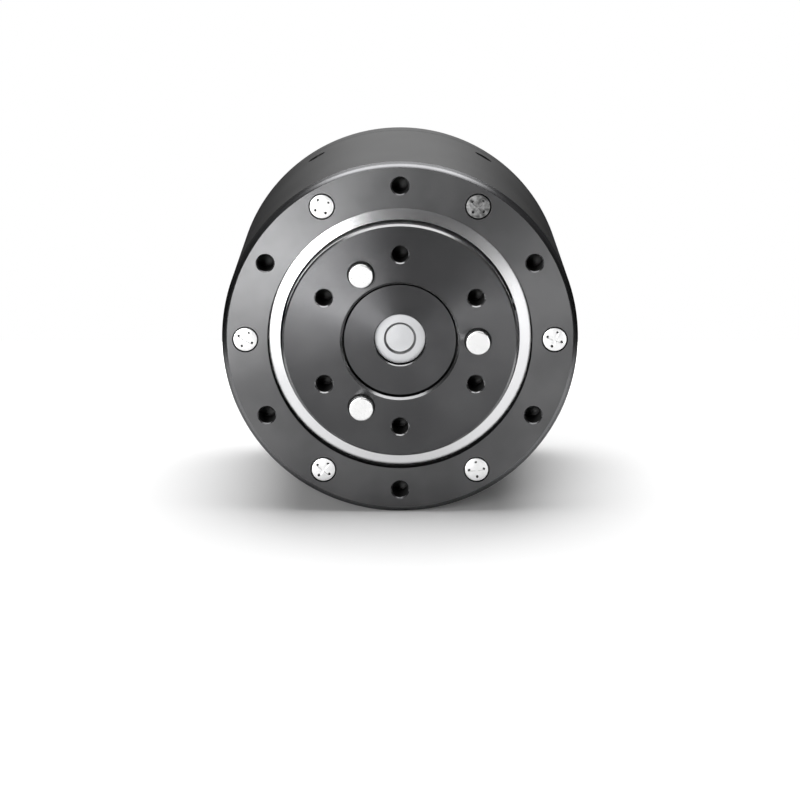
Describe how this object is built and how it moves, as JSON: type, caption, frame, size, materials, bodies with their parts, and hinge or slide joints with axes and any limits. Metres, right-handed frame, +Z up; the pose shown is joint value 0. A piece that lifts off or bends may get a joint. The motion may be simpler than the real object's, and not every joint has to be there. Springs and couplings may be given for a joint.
{
  "type": "robot joint actuator",
  "caption": "Round robot joint actuator: a brushless motor and a two-stage planetary gearbox in a short cylindrical housing, with a bolted output flange.",
  "frame": {"origin": "centre of the front mounting face of the housing, on the axis of turning", "axes": "the axis of turning is Y, the output flange faces -Y, +Z is up as pictured, lying on its rim"},
  "size_m": [0.053, 0.0458, 0.053],
  "materials": {
    "housing_aluminium": "dark grey anodised, fine turned",
    "output_aluminium": "dark grey anodised, fine turned",
    "bearing_steel": "ground",
    "pin_steel": "ground and polished",
    "screw_steel": "zinc plated",
    "bush_aluminium": "bare, turned",
    "gear_steel": "cut and hardened",
    "core_steel": "laminated electrical steel",
    "magnet": "nickel plated",
    "copper": "enamelled winding wire",
    "plate_aluminium": "bare, turned",
    "board": "solder mask on glass fibre laminate",
    "black_plastic": "moulded",
    "power_plastic": "moulded",
    "socket_plastic": "moulded",
    "contact": "gold plated"
  },
  "bodies": {
    "stationary": {"board_standoffs": "contact", "capacitors": "black_plastic", "cover_pillars": "plate_aluminium", "driver_board": "board", "encoder_chip": "black_plastic", "front_screws": "screw_steel", "front_shaft_bearing": "bearing_steel", "housing": "housing_aluminium", "motor_plate": "plate_aluminium", "output_bearing": "bearing_steel", "power_contacts": "contact", "power_socket": "power_plastic", "power_transistors": "black_plastic", "rear_cover": "housing_aluminium", "rear_cover_screws": "screw_steel", "rear_shaft_bearing": "bearing_steel", "ring_gear": "gear_steel", "signal_pins": "contact", "signal_sockets": "socket_plastic", "stator_coils": "copper", "stator_core": "core_steel"},
    "output": {"output_flange": "output_aluminium", "output_planet_pins": "pin_steel", "centre_plug": "output_aluminium", "centre_bush": "bush_aluminium"},
    "carrier": {"input_carrier": "gear_steel", "output_sun_gear": "gear_steel"},
    "rotor": {"rotor_shaft": "pin_steel", "input_sun_gear": "gear_steel", "rotor_bell": "core_steel", "rotor_magnets": "magnet", "encoder_magnet": "magnet"},
    "output_gear_1": {"output_planet_1": "gear_steel"},
    "output_gear_2": {"output_planet_2": "gear_steel"},
    "output_gear_3": {"output_planet_3": "gear_steel"},
    "input_gear_1": {"input_planet_1": "gear_steel"},
    "input_gear_2": {"input_planet_2": "gear_steel"},
    "input_gear_3": {"input_planet_3": "gear_steel"}
  },
  "joints": [
    {"name": "rotor_spin", "type": "hinge", "parent": "stationary", "child": "rotor", "pos_m": [0, 0, 0], "axis": [0, -1, 0], "continuous": true},
    {"name": "carrier_spin", "type": "hinge", "parent": "stationary", "child": "carrier", "pos_m": [0, 0, 0], "axis": [0, -1, 0], "continuous": true},
    {"name": "output_spin", "type": "hinge", "parent": "stationary", "child": "output", "pos_m": [0, 0, 0], "axis": [0, -1, 0], "continuous": true},
    {"name": "input_planet_1_spin", "type": "hinge", "parent": "carrier", "child": "input_gear_1", "pos_m": [0.01155, 0, 0], "axis": [0, -1, 0], "continuous": true},
    {"name": "input_planet_2_spin", "type": "hinge", "parent": "carrier", "child": "input_gear_2", "pos_m": [-0.00577, 0, 0.01], "axis": [0, -1, 0], "continuous": true},
    {"name": "input_planet_3_spin", "type": "hinge", "parent": "carrier", "child": "input_gear_3", "pos_m": [-0.00577, 0, -0.01], "axis": [0, -1, 0], "continuous": true},
    {"name": "output_planet_1_spin", "type": "hinge", "parent": "output", "child": "output_gear_1", "pos_m": [0.01155, 0, 0], "axis": [0, -1, 0], "continuous": true},
    {"name": "output_planet_2_spin", "type": "hinge", "parent": "output", "child": "output_gear_2", "pos_m": [-0.00577, 0, 0.01], "axis": [0, -1, 0], "continuous": true},
    {"name": "output_planet_3_spin", "type": "hinge", "parent": "output", "child": "output_gear_3", "pos_m": [-0.00577, 0, -0.01], "axis": [0, -1, 0], "continuous": true}
  ],
  "couplings": [
    {"joint": "carrier_spin", "follows": "rotor_spin", "ratio": 0.16667},
    {"joint": "output_spin", "follows": "rotor_spin", "ratio": 0.027778},
    {"joint": "input_planet_1_spin", "follows": "rotor_spin", "ratio": -0.41667},
    {"joint": "input_planet_2_spin", "follows": "rotor_spin", "ratio": -0.41667},
    {"joint": "input_planet_3_spin", "follows": "rotor_spin", "ratio": -0.41667},
    {"joint": "output_planet_1_spin", "follows": "rotor_spin", "ratio": -0.069444},
    {"joint": "output_planet_2_spin", "follows": "rotor_spin", "ratio": -0.069444},
    {"joint": "output_planet_3_spin", "follows": "rotor_spin", "ratio": -0.069444}
  ]
}
